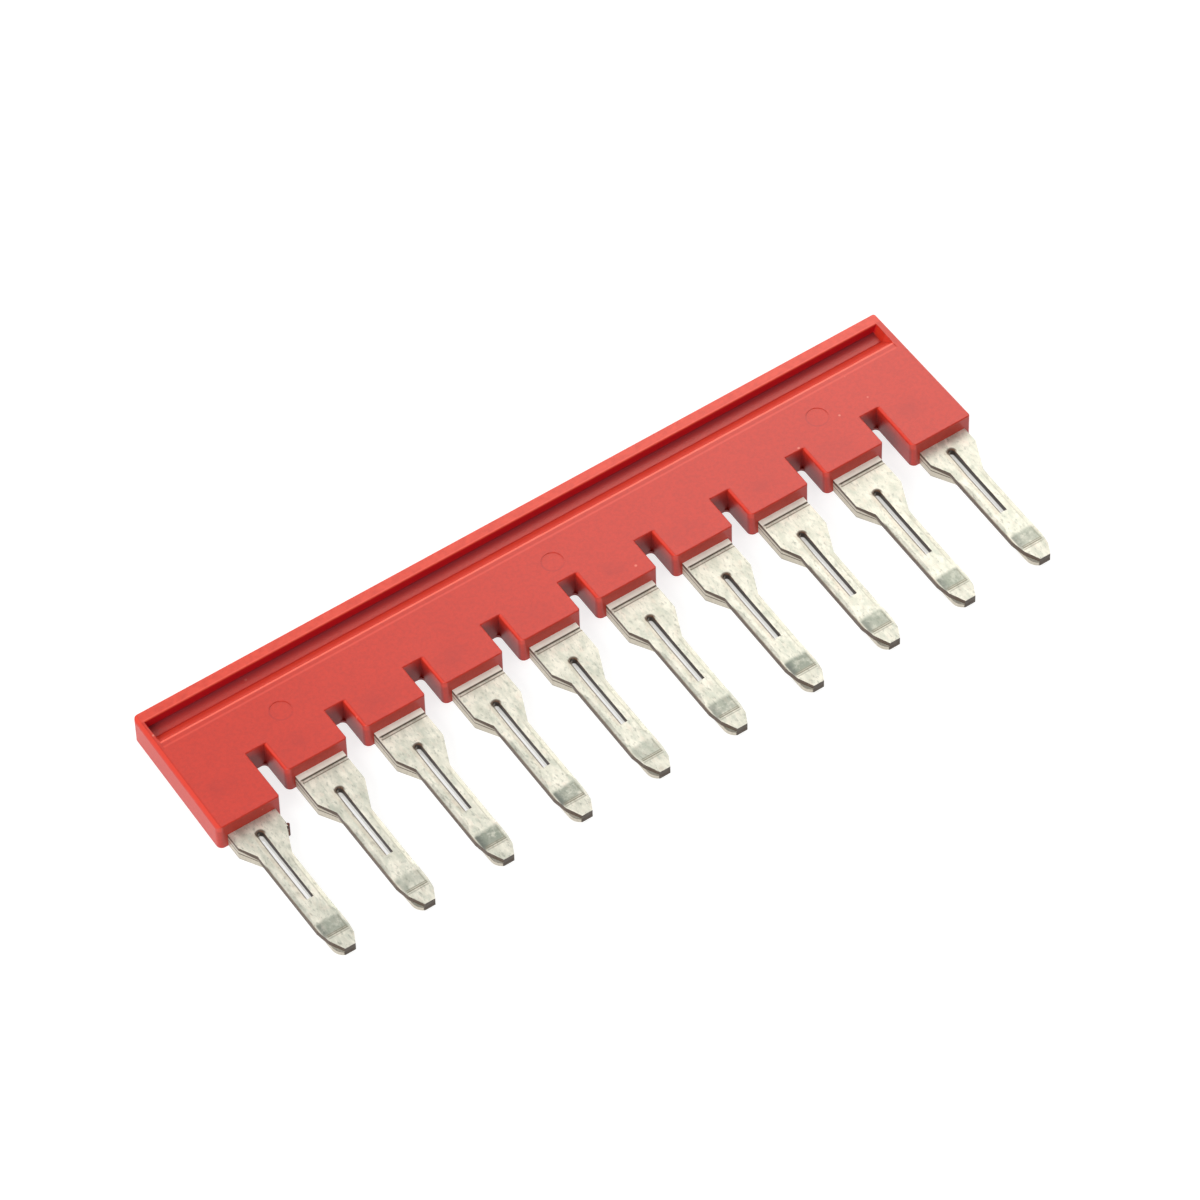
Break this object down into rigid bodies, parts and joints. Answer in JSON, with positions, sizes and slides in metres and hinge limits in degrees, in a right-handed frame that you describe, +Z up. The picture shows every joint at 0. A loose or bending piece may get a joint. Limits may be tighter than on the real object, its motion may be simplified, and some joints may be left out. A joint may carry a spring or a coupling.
{
  "type": "terminal block jumper bar",
  "caption": "Flat plug-in jumper bar: a toothed plastic housing moulded around stacked metal combs whose slotted contact legs bridge neighbouring terminal blocks.",
  "frame": {"origin": "middle of the footprint, on the surface that the bar lies on", "axes": "+X along the row of poles, -Y the way the contact legs point, +Z up through the thickness"},
  "size_m": [0.0508, 0.0192, 0.0019],
  "materials": {
    "housing_plastic": "moulded, satin",
    "contact_metal": "tin-plated copper, cloudy satin"
  },
  "bodies": {
    "root": {"housing": "housing_plastic", "upper_comb": "contact_metal", "lower_comb": "contact_metal"}
  },
  "joints": []
}
